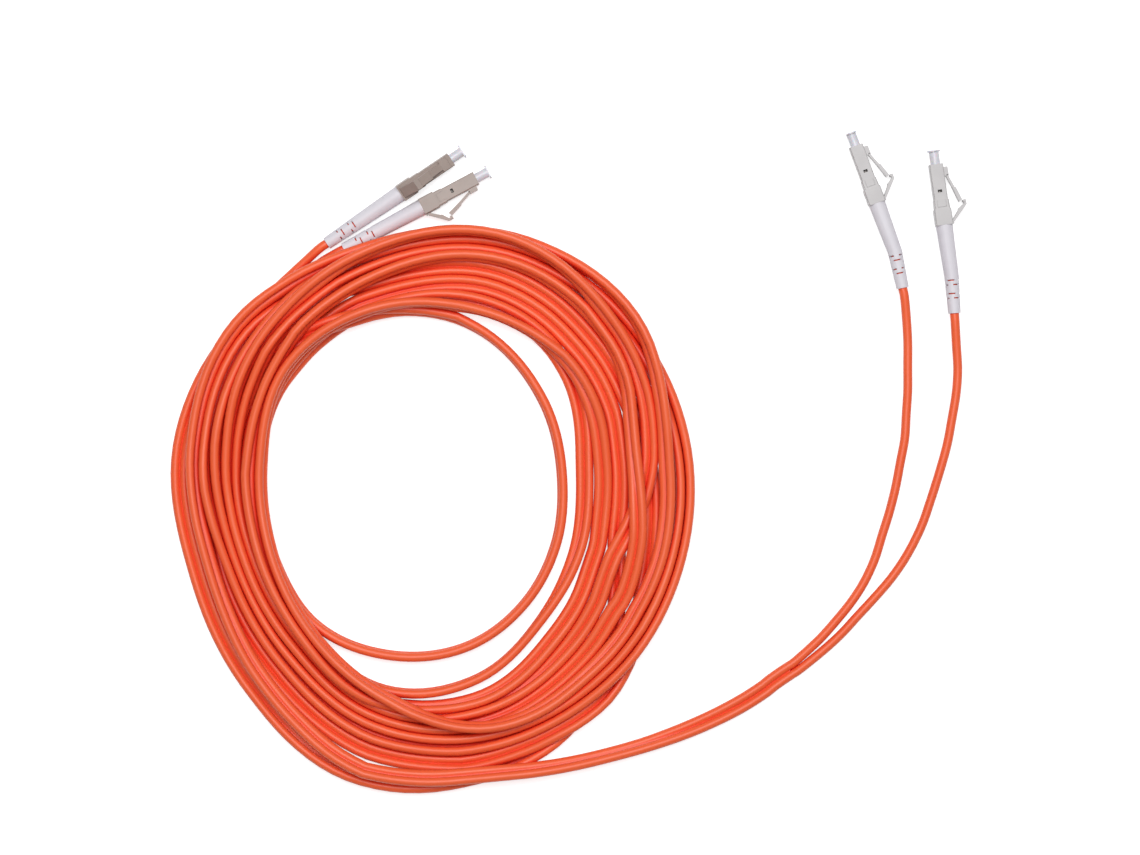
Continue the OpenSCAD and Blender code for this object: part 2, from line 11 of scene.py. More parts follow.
import bmesh
import bpy
import numpy as np
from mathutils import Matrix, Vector


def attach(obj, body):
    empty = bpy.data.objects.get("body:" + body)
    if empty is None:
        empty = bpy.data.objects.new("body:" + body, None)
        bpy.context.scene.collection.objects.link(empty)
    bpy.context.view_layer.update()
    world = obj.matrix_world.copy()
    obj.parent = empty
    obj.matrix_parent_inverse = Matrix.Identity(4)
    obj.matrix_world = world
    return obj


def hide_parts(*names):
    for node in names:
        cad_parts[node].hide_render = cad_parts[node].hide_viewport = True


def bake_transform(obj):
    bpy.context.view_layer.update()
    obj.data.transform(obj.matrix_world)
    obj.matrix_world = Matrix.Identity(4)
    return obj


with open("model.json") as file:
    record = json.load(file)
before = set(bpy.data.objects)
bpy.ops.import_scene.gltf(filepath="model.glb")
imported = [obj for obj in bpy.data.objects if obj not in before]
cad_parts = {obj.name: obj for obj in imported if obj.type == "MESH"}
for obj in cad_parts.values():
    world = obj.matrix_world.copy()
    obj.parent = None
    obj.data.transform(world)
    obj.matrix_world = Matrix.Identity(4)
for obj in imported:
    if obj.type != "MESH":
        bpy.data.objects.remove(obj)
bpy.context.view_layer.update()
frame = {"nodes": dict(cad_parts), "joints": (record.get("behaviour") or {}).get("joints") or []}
NODES = frame["nodes"]
MM = 0.001


def place_in_scene(name, data):
    """A new object that shows a mesh, a lamp or a camera."""
    made = bpy.data.objects.new(name, data)
    bpy.context.scene.collection.objects.link(made)
    return made


def mesh_piece(name, bm):
    """A new object from a finished bmesh, which is freed."""
    mesh = bpy.data.meshes.new(name)
    bm.to_mesh(mesh)
    bm.free()
    return place_in_scene(name, mesh)


# %% [markdown]
# ## Camera
# A flat object like this one is pictured from straight above. The lens follows from two real
# sizes: how high the camera hangs and how wide a strip of the table it takes in. A longer distance
# with a longer lens gives the same width with less perspective, so the plugs don't lean outwards.

# %% Camera
CAMERA_HEIGHT = 1.2                 # metres, like all lengths in this cell but the sensor's
VIEW_WIDTH = 0.3762
VIEW_MIDDLE = (-0.0251, -0.0683)
SENSOR_WIDTH_MM = 36
CORD_LEVEL = 0.003                  # the height at which the view is that wide
FARTHEST_SEEN = 20

camera_data = bpy.data.cameras.new("camera")
camera_data.sensor_width = SENSOR_WIDTH_MM
camera_data.lens = SENSOR_WIDTH_MM * (CAMERA_HEIGHT - CORD_LEVEL) / VIEW_WIDTH
camera_data.clip_end = FARTHEST_SEEN
camera = place_in_scene("camera", camera_data)
camera.location = (*VIEW_MIDDLE, CAMERA_HEIGHT)
bpy.context.scene.camera = camera
print("Lens:", round(camera_data.lens, 1), "mm")

# %% [markdown]
# ## Where the plugs lie
# Each plug was drawn along its own X axis and then set down on the table. Its joints say how: the
# dust cap slides along the plug's X axis, and the latch turns about its Z axis. From those two
# directions and the latch's place the script finds every plug's own frame again, so a point that
# is known on the plug, such as the end of its boot, is known on the table.

# %% The plugs' own frames
ENDS = ("1a", "1b", "2a", "2b")
LATCH_PLACE = Vector((15.9, 3.2, 0))    # the latch's hinge in the plug's own millimetres
BOOT_LENGTH = 29.3
BOOT_STRAIGHT = 17.2                    # the boot bends only behind this length
BOOT_BEND = {"1a": 0, "1b": 0, "2a": 8.5, "2b": 3.8}    # degrees
JOINTS = {joint["name"]: joint for joint in frame["joints"]}


def on_table(end, point):
    """A point of a plug's own frame, in millimetres on the table."""
    forward = Vector(JOINTS[f"cap_{end}_pull"]["axis"])
    across = Vector(JOINTS[f"latch_{end}_press"]["axis"])
    toward_latch = across.cross(forward)
    latch = Vector(JOINTS[f"latch_{end}_press"]["pos_m"]) / MM
    x, y, z = Vector(point) - LATCH_PLACE
    return latch + x * forward + y * toward_latch + z * across


def boot_point(end, behind):
    """The point of the boot's middle line that far behind the collar."""
    bend = radians(BOOT_BEND[end])
    tail = max(behind - BOOT_STRAIGHT, 0)
    return on_table(end, (-min(behind, BOOT_STRAIGHT) - tail * cos(bend), -tail * sin(bend), 0))


for end in ENDS:
    print("Boot", end, "ends at", [round(c, 1) for c in boot_point(end, BOOT_LENGTH)])

# %% [markdown]
# ## Routes of the free cord
# The cord leaves each boot as one round leg. Two legs run together into the flat duplex cord, once
# at the start of the coil and once on the table at the lower right. The points are in millimetres
# and keep within 3 mm of the middle line of the CAD solids. A smooth curve through them is the
# real route.

# %% Routes
LEG_D = 3.0
STRAND_R = LEG_D / 2
CORD_W = 2 * LEG_D
LEG_ROUTES = {
    "1a": [(-112, -13, 2.2), (-117.5, -18, 1.5)],
    "1b": [(-107, -13.5, 1.9), (-112, -17.5, 1.5), (-118, -23.5, 1.5)],
    "2a": [
        (86, -32, 2.1), (86.5, -40, 1.6), (86.5, -48, 1.5), (86.5, -56, 1.5), (86, -64, 1.5),
        (85.5, -72, 1.5), (84, -80, 1.5), (82.5, -88, 1.5), (80.5, -96, 1.5), (78, -104, 1.5),
        (75.5, -112, 1.5), (72, -119.5, 1.5), (67.8, -126, 1.5), (62.6, -132.4, 1.5),
        (57, -138.6, 1.5),
    ],
    "2b": [
        (102.5, -41, 2.1), (103, -49, 1.6), (102.5, -57, 1.5), (101, -66, 1.5), (99.5, -74, 1.5),
        (97, -83, 1.5), (94, -92.5, 1.5), (91, -101, 1.5), (86.5, -110, 1.5), (81.5, -117.5, 1.5),
        (76, -124, 1.5), (70, -130.5, 1.5), (64.5, -136.5, 1.5), (58.5, -142, 1.5),
    ],
}
LEAD_OUT = [
    (-48, -181.9, 7.6), (-36, -180.8, 6.6), (-24, -178.9, 5.4), (-12, -176.2, 4.2),
    (0, -172.9, 3.2), (12, -168.7, 2.6), (22, -164.4, 2.4), (31, -159.8, 2.1), (38.5, -155.1, 1.7),
]
SPLIT = (47.5, -148.6, 1.5)
SPLIT_ANGLE = radians(34)
CUTS_BETWEEN = 16       # points on the smooth curve between two given ones


def spline(a, b, c, d, f):
    """The smooth curve through a, b, c and d, at the fraction f of the way from b to c."""
    return b + f / 2 * (c - a + f * (2 * a - 5 * b + 4 * c - d + f * (3 * (b - c) + d - a)))


def steps_along(line):
    """The distance along a row of points, at each of them."""
    return np.concatenate([[0], np.cumsum(np.linalg.norm(np.diff(line, axis=0), axis=1))])


def length_of(line):
    """The length of a row of points."""
    return np.linalg.norm(np.diff(line, axis=0), axis=1).sum()


def through(points, step):
    """Evenly spaced points on a smooth curve through the given ones."""
    p = np.array(points, float)
    p = np.vstack([2 * p[0] - p[1], p, 2 * p[-1] - p[-2]])
    line = []
    for a, b, c, d in zip(p, p[1:], p[2:], p[3:]):
        line.append(spline(a, b, c, d, np.linspace(0, 1, CUTS_BETWEEN, endpoint=False)[:, None]))
    line = np.vstack([*line, p[-2:-1]])
    along = steps_along(line)
    wanted = np.linspace(0, along[-1], int(along[-1] / step) + 2)
    return np.stack([np.interp(wanted, along, line[:, k]) for k in range(3)], axis=1)


# %% [markdown]
# ## How the turns were laid
# A coil that is wound over a hand has no two turns alike. Each row below is one turn, from the
# first one on the table to the last one on top, and each column is a direction from the coil's
# middle, every 30 degrees. The number in LAY is the distance at which that turn passes. A turn
# whose numbers cross another's lies over it, unless LIFTS says that a stretch was pulled over the
# turns that came after: its pairs are a place along the coil, in turns, and how many millimetres
# higher the cord starts there. STAND says how far the flat cord stands on edge: 0 is flat, and 90
# puts one strand on top of the other. The first few samples lie flat, as the legs leave there,
# and the last few ease into the place where the lead-out takes over.

# %% The lay of the coil
COIL_MIDDLE = np.array([-71.3, -95.2])
COLUMN_START, COLUMN_STEP = 135, 30
LAY = np.array([
    [86.7, 84.9, 80.2, 83.2, 92.4, 91.0, 79.8, 64.6, 64.9, 71.8, 75.2, 71.8],
    [67.8, 62.8, 58.2, 58.3, 61.9, 58.3, 51.7, 50.4, 52.8, 63.8, 70.2, 69.8],
    [65.6, 58.4, 55.2, 53.9, 50.0, 47.0, 44.1, 43.1, 45.0, 52.0, 61.2, 67.6],
    [70.8, 72.0, 72.8, 75.0, 82.6, 83.4, 83.0, 74.6, 73.4, 76.6, 81.0, 76.6],
    [83.4, 76.7, 68.7, 69.8, 75.6, 80.3, 82.3, 84.1, 87.4, 89.6, 90.4, 84.8],
    [80.0, 72.5, 64.7, 65.9, 72.5, 76.8, 79.6, 81.0, 83.7, 87.4, 88.2, 81.4],
    [74.0, 65.4, 60.0, 61.2, 67.5, 68.0, 64.2, 63.4, 75.3, 86.6, 93.4, 87.2],
    [79.2, 68.8, 61.2, 62.0, 70.3, 72.6, 69.6, 69.6, 70.0, 82.3, 86.2, 78.2],
    [69.0, 61.6, 57.8, 58.8, 65.8, 65.4, 59.0, 54.0, 57.6, 65.0, 67.8, 68.4],
    [66.4, 57.4, 54.4, 56.0, 63.0, 74.2, 76.3, 77.5, 80.3, 91.8, 91.8, 88.8],
    [87.5, 80.3, 74.0, 78.3, 86.6, 88.6, 88.6, 88.6, 88.6, 88.6, 88.6, 88.6],
])
STAND = np.array([
    [0, 0, 5, 10, 75, 85, 10, 5, 5, 5, 5, 15],
    [60, 70, 75, 80, 85, 85, 85, 38, 8, 12, 50, 65],
    [80, 80, 80, 85, 85, 85, 85, 80, 80, 80, 85, 75],
    [30, 20, 10, 8, 5, 12, 30, 8, 5, 5, 5, 5],
    [50, 80, 75, 75, 80, 80, 78, 82, 85, 85, 85, 80],
    [80, 85, 70, 68, 80, 80, 82, 85, 85, 85, 80, 78],
    [80, 85, 80, 80, 80, 75, 15, 8, 12, 65, 85, 75],
    [75, 75, 74, 78, 75, 45, 5, 12, 50, 74, 75, 75],
    [75, 66, 75, 75, 60, 40, 8, 0, 5, 66, 88, 82],
    [80, 80, 80, 72, 70, 76, 42, 44, 50, 72, 70, 75],
    [48, 55, 60, 38, 38, 38, 38, 38, 38, 38, 38, 38],
])
LIFTS = [(6.74, 0), (6.8, 14), (6.98, 14), (7.08, 0)]
COIL_START = 130            # degrees
TURNS = 10.4
STATIONS = 120              # samples in a turn
COIL_END_RADIUS = 88.4
COIL_END_HEIGHT = 8
COIL_END_ROLL = radians(38)
FLAT_SAMPLES = 10
EASED_SAMPLES = 12
JUST_INSIDE = 1.001         # keeps a place on a table short of its last value

samples = round(TURNS * STATIONS) + 1
rows = -(-samples // STATIONS)
count = rows * STATIONS
angles = COIL_START + np.arange(count) * 360 / STATIONS


def eased(f):
    """A smooth step from 0 to 1."""
    f = np.clip(f, 0, 1)
    return f * f * (3 - 2 * f)


def read_along(table):
    """A table of the lay read as one smooth row of values, one for each sample of the cord."""
    values = table.ravel().astype(float)
    at = np.clip((angles - COLUMN_START) / COLUMN_STEP, 0, len(values) - JUST_INSIDE)
    k = at.astype(int)
    f = at - k
    a, b, c, d = (values[np.clip(k + o, 0, len(values) - 1)] for o in (-1, 0, 1, 2))
    return spline(a, b, c, d, f)


ending = eased((np.arange(count) - (samples - 1 - EASED_SAMPLES)) / EASED_SAMPLES)
radii = read_along(LAY) * (1 - ending) + COIL_END_RADIUS * ending
rolls = np.radians(read_along(STAND))
rolls[:FLAT_SAMPLES] = 0
lifts = np.interp(np.arange(count) / STATIONS, *zip(*LIFTS))
print("Turns:", TURNS, "from", LAY.min(), "to", LAY.max(), "mm out")

# %% [markdown]
# ## What the cord lies against
# The boots and the first legs were on the table before the last turns came down, so the turns rest
# on them. In the half plane that goes up from the coil's middle in one direction, each of them is
# a circle: its distance from the middle, its height and its radius.

# %% Boots and legs as circles
PAST_THE_ENDS = 0.02        # share of a stretch, so that no station falls between two
LEAST_SLANT = 0.5           # a piece along the half plane counts as no more than twice as thick
PARALLEL = 1e-9


def circles_on(route, route_radii):
    """Where a round piece along a route crosses the half plane of each station."""
    found = []
    for a, b, ra, rb in zip(route, route[1:], route_radii, route_radii[1:]):
        start, way = np.array(a[:2]) - COIL_MIDDLE, np.array(b[:2]) - np.array(a[:2])
        for station in range(STATIONS):
            turn = np.radians(angles[station])
            out = np.array([np.cos(turn), np.sin(turn)])
            spread = way[0] * out[1] - way[1] * out[0]
            if abs(spread) < PARALLEL:
                continue
            t = -(start[0] * out[1] - start[1] * out[0]) / spread
            distance = (start + t * way) @ out
            if -PAST_THE_ENDS <= t <= 1 + PAST_THE_ENDS and distance > 0:
                slant = abs(way @ [-out[1], out[0]]) / np.linalg.norm(way)
                height = a[2] + t * (b[2] - a[2])
                radius = (ra + t * (rb - ra)) / max(slant, LEAST_SLANT)
                found.append((station, distance, height, radius))
    return found


BOOT_END_R, BOOT_FRONT_R = 2.05, 2.8
things = []
for end in ("1a", "1b"):
    boot_end, collar = boot_point(end, BOOT_LENGTH), boot_point(end, 0)
    things += circles_on([boot_end, collar], [BOOT_END_R, BOOT_FRONT_R])
    route = [boot_end, *LEG_ROUTES[end]]
    things += circles_on(route, [STRAND_R] * len(route))
things = np.array(things)
print("Circles of boots and legs:", len(things))

# %% [markdown]
# ## Letting the coil settle
# A physics engine could drop the cord, but it would be slow and hard to steer. Here the coil is
# cut by 120 half planes that all start at its middle, and in each of them the two strands of every
# turn are two small circles. The circles sink a little, are drawn back to where they were laid,
# follow their neighbours along the cord, keep their distance within the pair, and push each other
# apart where they overlap. A hand that holds a bundle also squeezes it, so turns with only a sliver
# of table between them are drawn together, apart from the loose inner loops. Nine hundred small
# rounds of this give a coil whose turns truly rest on one another. The last two fifths of them are
# calmer than the first, so that the turns come to rest, and HELD samples at either end stay where
# they are throughout. Nothing in it is random, so it comes out the same each time.

# %% Settle the turns
ROUNDS, PASSES = 900, 2                     # each round sinks once and mends twice
CLEARANCE = 0.04                            # millimetres kept between two strands
HELD = 7                                    # samples at either end that don't move
WIDEST_SLIVER = 2.3                         # a gap wider than this stays open
SQUEEZE = 0.3                               # share of a gap that closes in one pass
LOOSE_TURNS, LOOSE_RADIUS = (1, 2), 62.5    # turns that aren't squeezed inside this radius
START_SPACING = 1.1                         # strand widths from turn to turn at the start
PARKED, PARKED_STEP = 1000, 10              # where samples past the end wait, out of the way
NEIGHBOUR_PULL, ROLL_PULL = 0.35, 0.03      # share of the way, in one pass
LATER_SHARE, EARLIER_SHARE = 0.65, 0.35     # of a push, for the later and the earlier turn
SIDE_BY_SIDE = 0.92                         # strand widths at which two strands have no gap
CALM_FROM = 0.6                             # share of the rounds after which it calms down
SINK, CALM_SINK = 0.12, 0.04                # millimetres in a round
RETURN, CALM_RETURN = 0.05, 0.02            # share of the way back to the lay in a round
NEVER_ZERO = 1e-9


def starting_places():
    """Every turn above the one before it, all of them apart, and the unused samples far above."""
    p = np.zeros((count, 2, 2))
    p[:, 0, 0], p[:, 1, 0] = radii - STRAND_R, radii + STRAND_R
    p[:, :, 1] = (STRAND_R + START_SPACING * LEG_D * np.arange(count) / STATIONS + lifts)[:, None]
    p[samples:, :, 1] = PARKED + PARKED_STEP * np.arange(count - samples)[:, None]
    return p


def hold_ends(p, first):
    """The start lies flat on the table, and the end at the height where the lead-out goes."""
    p[:HELD] = first
    across = STRAND_R * np.array([cos(COIL_END_ROLL), sin(COIL_END_ROLL)])
    p[samples - HELD:samples, 0] = np.array([COIL_END_RADIUS, COIL_END_HEIGHT]) - across
    p[samples - HELD:samples, 1] = np.array([COIL_END_RADIUS, COIL_END_HEIGHT]) + across


def follow_neighbours(p):
    """Each sample moves toward the middle of its neighbours, apart from the turn's own shape."""
    own = p.copy()
    own[:, :, 0] -= radii[:, None]
    bend = (own[:samples - 2] + own[2:samples]) / 2 - own[1:samples - 1]
    p[1:samples - 1] += NEIGHBOUR_PULL * bend


def keep_pairs(p, wanted):
    """The two strands of a pair stay joined, and turn toward the roll that they were laid with."""
    across = p[:, 1] - p[:, 0]
    turn = ROLL_PULL * (LEG_D * wanted - across)
    p[:, 1] += turn
    p[:, 0] -= turn
    across = p[:, 1] - p[:, 0]
    length = np.linalg.norm(across, axis=1, keepdims=True)
    mend = (length - LEG_D) / 2 * across / length
    p[:, 0] += mend
    p[:, 1] -= mend


level = np.arange(2 * rows) // 2
same_cord = level[:, None] == level[None, :]
push_share = np.where(level[:, None] > level[None, :], LATER_SHARE, EARLIER_SHARE)
thing_at = things[:, 0].astype(int)


def push_apart(p):
    """Strands that overlap in one half plane move apart, the later turn more than the earlier."""
    q = p.reshape(rows, STATIONS, 2, 2).transpose(1, 0, 2, 3).reshape(STATIONS, 2 * rows, 2)
    gap = q[:, :, None] - q[:, None]
    distance = np.linalg.norm(gap, axis=-1) + NEVER_ZERO
    overlap = np.clip(LEG_D + CLEARANCE - distance, 0, None)
    overlap[:, same_cord] = 0
    crowd = np.sqrt(np.maximum((overlap > 0).sum(2), 1))
    q = q + ((overlap * push_share / distance)[..., None] * gap).sum(2) / crowd[..., None]
    gap = q[thing_at] - things[:, None, 1:3]
    distance = np.linalg.norm(gap, axis=-1) + NEVER_ZERO
    overlap = np.clip(STRAND_R + things[:, 3:4] + CLEARANCE - distance, 0, None)
    np.add.at(q, thing_at, (overlap / distance)[..., None] * gap)
    p[:] = q.reshape(STATIONS, rows, 2, 2).transpose(1, 0, 2, 3).reshape(count, 2, 2)
    p[:, :, 1] = np.maximum(p[:, :, 1], STRAND_R)


turn_of = np.arange(count) // STATIONS
loose = np.isin(turn_of, LOOSE_TURNS) & (radii < LOOSE_RADIUS)
bundled = (np.arange(count) < samples) & ~loose
bundled = np.repeat(bundled.reshape(rows, STATIONS).T, 2, axis=1)


def close_gaps(p):
    """Strands side by side with a sliver of table between them move together."""
    out = p[:, :, 0].reshape(rows, STATIONS, 2).transpose(1, 0, 2).reshape(STATIONS, 2 * rows)
    out = np.where(bundled, out, PARKED)
    order = np.argsort(out, axis=1)
    gap = np.diff(np.take_along_axis(out, order, 1), axis=1) - SIDE_BY_SIDE * LEG_D
    pull = SQUEEZE * np.where((gap > 0) & (gap < WIDEST_SLIVER), gap, 0)
    step = np.zeros_like(out)
    step[:, 1:] -= pull
    step[:, :-1] += pull
    moved = np.zeros_like(out)
    np.put_along_axis(moved, order, step, 1)
    p[:, :, 0] += moved.reshape(STATIONS, rows, 2).transpose(1, 0, 2).reshape(count, 2)


def settle():
    """The two strands' distance from the middle and height, at every sample."""
    p = starting_places()
    first = p[:HELD].copy()
    first[:, :, 1] = STRAND_R
    wanted = np.stack([np.cos(rolls), np.sin(rolls)], axis=1)
    for k in range(ROUNDS):
        calm = max(0, (k / ROUNDS - CALM_FROM) / (1 - CALM_FROM))
        p[:samples, :, 1] -= SINK if calm == 0 else CALM_SINK * (1 - calm)
        back = RETURN if calm == 0 else CALM_RETURN
        p[:, :, 0] += back * (radii - p[:, :, 0].mean(1))[:, None]
        for _ in range(PASSES):
            follow_neighbours(p)
            keep_pairs(p, wanted)
            close_gaps(p)
            push_apart(p)
            hold_ends(p, first)
    return p[:samples]


settled = settle()
moved = settled[:, :, 0].mean(1) - radii[:samples]
print("Top of the coil:", round(settled[:, :, 1].max() + STRAND_R, 1), "mm over the table")
print("Turns moved sideways by up to", round(abs(moved).max(), 1), "mm as they settled")

# %% [markdown]
# ## From circles to one unbroken cord
# The settled circles become points on the table, two strands side by side. The lead-out goes on
# from the last of them, down the outside of the coil and across the table to the split. It rolls
# a little further on the first half of its way, and lies flat where it splits.

# %% Strands of the duplex cord
LEAD_ROLL = radians(52)
ROLL_TOP, ROLL_TO = 0.45, 0.95      # shares of the way: where the roll is greatest, and gone
DUPLEX_STEP = 3.5


def coil_strands():
    """Both strands of the coil as points on the table, in millimetres."""
    turn = np.radians(angles[:samples])
    out = np.stack([np.cos(turn), np.sin(turn)], axis=1)
    flat = settled[:, :, :1] * out[:, None] + COIL_MIDDLE
    return np.concatenate([flat, settled[:, :, 1:]], axis=2)


def lead_out_strands(start):
    """Both strands of the stretch between the coil and the split."""
    split_way = np.array([cos(SPLIT_ANGLE), sin(SPLIT_ANGLE), 0])
    route = [start, *LEAD_OUT, np.array(SPLIT) - CORD_W * split_way, SPLIT]
    line = through(route, DUPLEX_STEP)
    way = np.gradient(line, axis=0)
    way /= np.linalg.norm(way, axis=1, keepdims=True)
    side = np.cross(way, [0, 0, 1])
    side /= np.linalg.norm(side, axis=1, keepdims=True)
    up = np.cross(side, way)
    part = np.linspace(0, 1, len(line))
    rising = COIL_END_ROLL + (LEAD_ROLL - COIL_END_ROLL) * eased(part / ROLL_TOP)
    falling = 1 - eased((part - ROLL_TOP) / (ROLL_TO - ROLL_TOP))
    roll = (rising * falling)[:, None]
    across = STRAND_R * (np.cos(roll) * side + np.sin(roll) * up)
    return np.stack([line - across, line + across], axis=1)[1:]


coil = coil_strands()
strands = np.concatenate([coil, lead_out_strands(coil[-1].mean(0))])
print("Duplex cord:", round(length_of(strands.mean(1)) / 1000, 2), "m")

# %% [markdown]
# ## A tube of any outline
# A cord is an outline carried along a line. A curve object with a bevel could do that for a round
# cord, but the flat cord also has to roll exactly as its two strands do, so each ring is placed
# from the strands themselves. The UV map holds the distance along the cord and the place round it,
# in metres, so a pattern can follow the surface.

# %% Tube maker
def tube(name, lines, rights, outline):
    """A closed tube: an outline ring at every point of a line, square to it, with UVs in metres."""
    way = np.gradient(lines, axis=0)
    way /= np.linalg.norm(way, axis=1, keepdims=True)
    right = rights - (rights * way).sum(1, keepdims=True) * way
    right /= np.linalg.norm(right, axis=1, keepdims=True)
    up = np.cross(right, way)
    sideways, upward = outline[None, :, :1], outline[None, :, 1:]
    rings = lines[:, None] + sideways * right[:, None] + upward * up[:, None]
    along = steps_along(lines)
    round_it = steps_along(np.vstack([outline, outline[:1]]))
    bm = bmesh.new()
    uv = bm.loops.layers.uv.new("UVMap")
    verts = [[bm.verts.new(point * MM) for point in ring] for ring in rings]
    n = len(outline)
    for i in range(len(verts) - 1):
        for j in range(n):
            k = (j + 1) % n
            face = bm.faces.new((verts[i][j], verts[i + 1][j], verts[i + 1][k], verts[i][k]))
            face.smooth = True
            corners = ((i, j), (i + 1, j), (i + 1, j + 1), (i, j + 1))
            for loop, (a, b) in zip(face.loops, corners):
                loop[uv].uv = along[a] * MM, round_it[b] * MM
    for ring in (verts[0], verts[-1]):
        for edge in bm.faces.new(ring).edges:
            edge.smooth = False
    bmesh.ops.recalc_face_normals(bm, faces=bm.faces)
    return mesh_piece(name, bm)


def circle_outline(radius, sides):
    """A round outline."""
    turn = np.arange(sides) * 2 * pi / sides
    return radius * np.stack([np.cos(turn), np.sin(turn)], axis=1)


# %% [markdown]
# ## The duplex cord
# A zip cord is two round jackets joined by a thin web, so its outline is a figure eight. The two
# rounds are drawn as arcs that stop just short of each other, which leaves the web between them.

# %% Duplex cord
WEB_ANGLE = 166         # degrees from the outer side to the web
ARC_POINTS = 13


def figure_eight():
    """Two arcs side by side, joined by a narrow web."""
    turn = np.radians(np.linspace(-WEB_ANGLE, WEB_ANGLE, ARC_POINTS))
    arc = STRAND_R * np.stack([np.cos(turn) + 1, np.sin(turn)], axis=1)
    return np.vstack([arc, -arc])


duplex_line = strands.mean(1)
duplex = tube("duplex_cord", duplex_line, strands[:, 1] - strands[:, 0], figure_eight())
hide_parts("cord_coil", "cord_lead_out")
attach(duplex, "cord")
print("Duplex cord faces:", len(duplex.data.polygons))

# %% [markdown]
# ## The four legs
# Each leg is one half of the zip cord, torn free of its neighbour, so it is round. It starts square
# to the end of its boot and finishes in line with its own strand of the duplex cord. JOINED says
# which end of the duplex cord that is, the first point or the last, and which of the two strands.

# %% Legs
JOINED = {"1a": (0, 1), "1b": (0, 0), "2a": (-1, 0), "2b": (-1, 1)}
LEG_SIDES = 16
LEG_STEP = 2            # millimetres, as every length here
legs = {}
for end in ENDS:
    place, strand = JOINED[end]
    last = strands[place, strand]
    before = strands[place + 1 if place == 0 else place - 1, strand]
    joined_way = (last - before) / np.linalg.norm(last - before)
    boot_end = np.array(boot_point(end, BOOT_LENGTH))
    backward = boot_end - np.array(boot_point(end, BOOT_LENGTH - 1))
    route = [boot_end, boot_end + LEG_D * backward, *LEG_ROUTES[end]]
    route += [last + LEG_D * joined_way, last]
    line = through(route, LEG_STEP)
    leg = tube(f"leg_{end}", line, np.cross(np.gradient(line, axis=0), [0, 0, 1]),
               circle_outline(STRAND_R, LEG_SIDES))
    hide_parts(f"cord_leg_{end}")
    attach(leg, "cord")
    legs[end] = leg
    print("Leg", end, round(length_of(line)), "mm")

# %% [markdown]
# ## The ferrules' springs
# Every ferrule leans on a small coil spring inside its housing. Pushed back, it takes the spring's
# front end along, while the rear end stays against the crimp body. A rigid spring would be pierced
# by the ferrule's flange. Here a copy of the CAD spring has its double points merged and takes the
# CAD spring's place.

# %% Springs
SAME_POINT = 1e-6       # metres
springs = {}
for end in ENDS:
    spring = place_in_scene(f"spring_{end}", NODES[f"ferrule_spring_{end}"].data.copy())
    bm = bmesh.new()
    bm.from_mesh(spring.data)
    bmesh.ops.remove_doubles(bm, verts=bm.verts, dist=SAME_POINT)
    bm.to_mesh(spring.data)
    bm.free()
    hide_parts(f"ferrule_spring_{end}")
    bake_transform(spring)
    springs[end] = spring

# %% [markdown]
# ## Lips of the triggers
# The free end of a trigger lever turns down into a small lip behind the latch's end, so that the
# two stay hooked while they are pressed. It is a bevelled bar almost as wide as the lever, between
# two corners in the plug's own millimetres. Its top sinks into the lever's hook, and it rides along
# with the lever.

# %% Trigger lips
LIP_LOW, LIP_HIGH = Vector((6.75, 7.15, -1.65)), Vector((7.32, 8.05, 1.65))
LIP_BEVEL = 0.1
lips = {}
for end in ENDS:
    bm = bmesh.new()
    bmesh.ops.create_cube(bm, size=1)
    for vert in bm.verts:
        part_way = [LIP_LOW[i] + (vert.co[i] + 0.5) * (LIP_HIGH[i] - LIP_LOW[i]) for i in range(3)]
        vert.co = on_table(end, part_way) * MM
    bmesh.ops.bevel(bm, geom=bm.edges[:], offset=LIP_BEVEL * MM, segments=2, profile=0.5,
                    affect="EDGES", material=-1)
    bmesh.ops.recalc_face_normals(bm, faces=bm.faces)
    lip = mesh_piece(f"trigger_lip_{end}", bm)
    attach(lip, f"trigger_{end}")
    lips[end] = lip
print("Trigger lips:", round(LIP_HIGH[1] - LIP_LOW[1], 2), "mm deep")

# %% [markdown]
# ## Shared surface effects
# Two effects come back on almost every piece here. Moulded and extruded plastic has a very fine
# unevenness that breaks up its highlights, and it is never quite the same colour all over. Each is
# a node group with its own inputs, so one definition serves every material at its own scale. The
# roughness changes in patches some twelve times as broad as the grain.

# %% Node groups
BROAD_SHARE = 0.08                  # the patches' scale, as a share of the grain's
DRIFT_FROM, DRIFT_TO = 0.35, 0.65   # noise values where the drift begins and is complete


def group_shell(name, inputs, outputs):
    """An empty shader node group with named inputs and outputs."""
    group = bpy.data.node_groups.new(name, "ShaderNodeTree")
    for label, kind, value in inputs:
        socket = group.interface.new_socket(label, in_out="INPUT", socket_type=kind)
        if value is not None:
            socket.default_value = value
    for label, kind in outputs:
        group.interface.new_socket(label, in_out="OUTPUT", socket_type=kind)
    into = group.nodes.new("NodeGroupInput")
    out = group.nodes.new("NodeGroupOutput")
    return group, into, out


